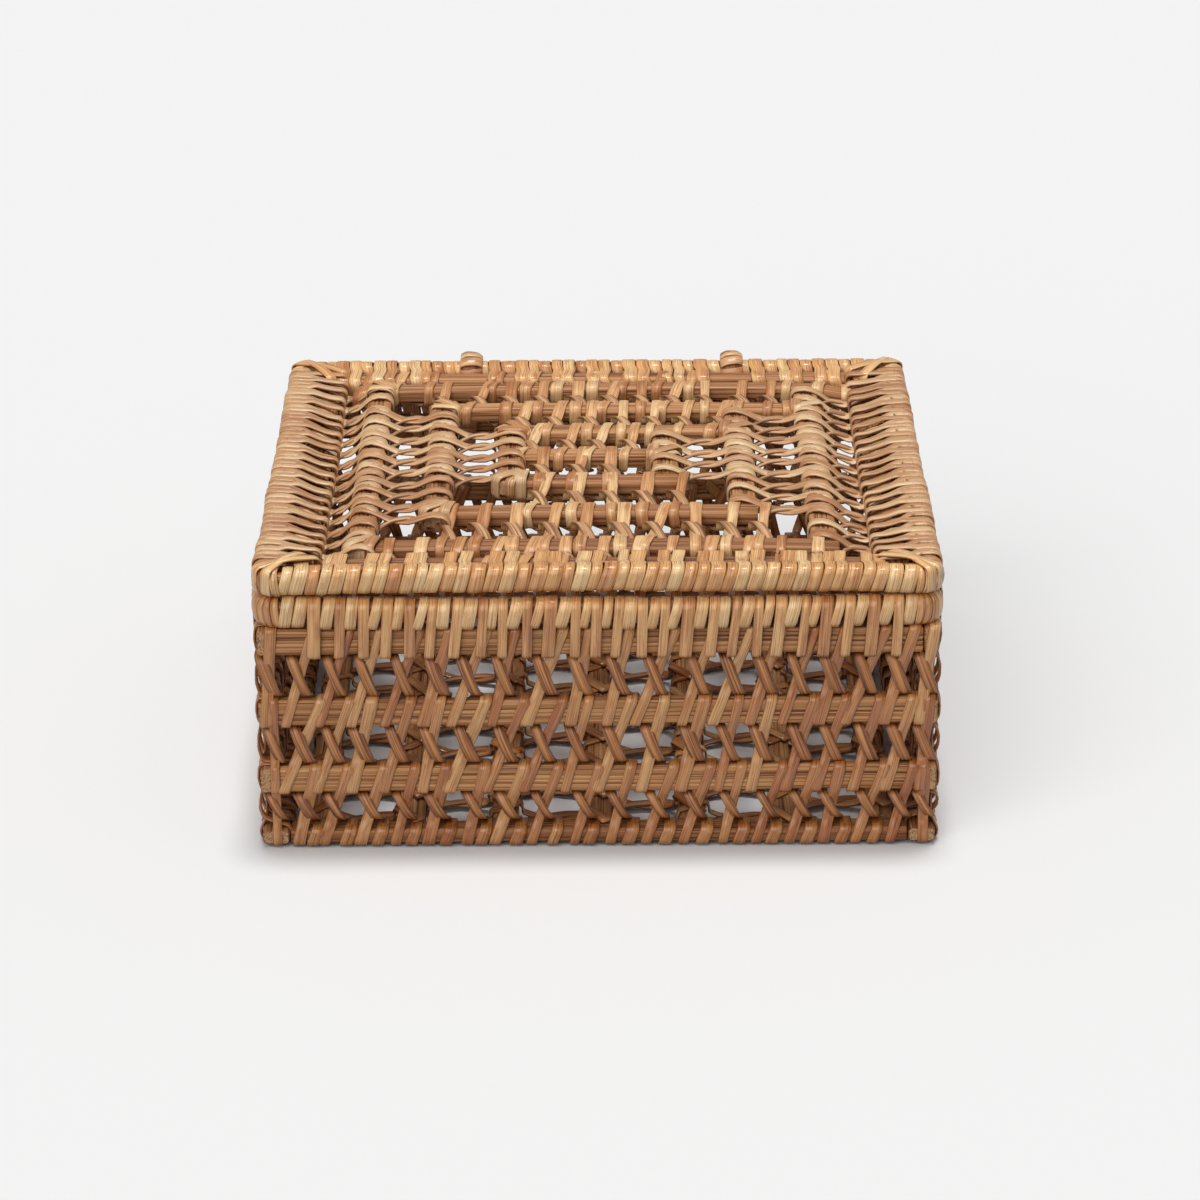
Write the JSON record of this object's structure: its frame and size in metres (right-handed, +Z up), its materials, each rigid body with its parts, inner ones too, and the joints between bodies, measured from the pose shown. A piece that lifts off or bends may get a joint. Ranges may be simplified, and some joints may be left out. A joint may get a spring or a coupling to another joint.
{
  "type": "napkin holder",
  "caption": "Square lidded napkin box of split rattan bars laced with flat cane strip, with bound rims, a spiral open-work lid and cane loop hinges at the rear.",
  "frame": {"origin": "on the surface it stands on, under the middle of the whole outline, hinge loops included", "axes": "+Z up, +Y towards the hinges at the rear, -Y to the front, +X to the right seen from the front"},
  "size_m": [0.18, 0.1833, 0.0813],
  "materials": {
    "core": "matt split rattan core, bare",
    "strip": "satin flat cane strip, natural skin outside",
    "rim": "satin cane strip bound closely over a rattan rod",
    "loop": "satin cane strip bound over a cane loop"
  },
  "bodies": {
    "box": {"wall_front_lower_bar": "core", "wall_front_upper_bar": "core", "wall_front_top_bar": "core", "bottom_rail_front": "core", "wall_right_lower_bar": "core", "wall_right_upper_bar": "core", "wall_right_top_bar": "core", "bottom_rail_right": "core", "wall_rear_lower_bar": "core", "wall_rear_upper_bar": "core", "wall_rear_top_bar": "core", "bottom_rail_rear": "core", "wall_left_lower_bar": "core", "wall_left_upper_bar": "core", "wall_left_top_bar": "core", "bottom_rail_left": "core", "box_rim_front": "rim", "box_rim_right": "rim", "box_rim_rear": "rim", "box_rim_left": "rim", "base_bar_1": "core", "base_bar_2": "core", "base_bar_3": "core", "base_bar_4": "core", "base_bar_5": "core", "base_bar_6": "core", "base_bar_7": "core", "wall_lacing_front": "strip", "wall_lacing_right": "strip", "wall_lacing_rear": "strip", "wall_lacing_left": "strip", "base_lacing": "strip", "hinge_loop_left": "loop", "hinge_loop_right": "loop"},
    "lid": {"lid_rim_front": "rim", "lid_rim_right": "rim", "lid_rim_rear": "rim", "lid_rim_left": "rim", "lid_rail_front": "core", "lid_rail_right": "core", "lid_rail_rear": "core", "lid_rail_left": "core", "lid_coil_rear_1": "core", "lid_coil_left_1": "core", "lid_coil_front_1": "core", "lid_coil_right_1": "core", "lid_coil_rear_2": "core", "lid_coil_left_2": "core", "lid_coil_front_2": "core", "lid_coil_right_2": "core", "lid_coil_rear_3": "core", "lid_coil_left_3": "core", "lid_coil_front_3": "core", "lid_coil_right_3": "core", "lid_coil_rear_4": "core", "lid_lacing_front": "strip", "lid_lacing_right": "strip", "lid_lacing_rear": "strip", "lid_lacing_left": "strip"}
  },
  "joints": [
    {"name": "lid_hinge", "type": "hinge", "parent": "box", "child": "lid", "pos_m": [0, 0.08475, 0.0744], "axis": [-1, 0, 0], "range_deg": [0, 105], "deforming": ["hinge_loop_left", "hinge_loop_right"]}
  ]
}
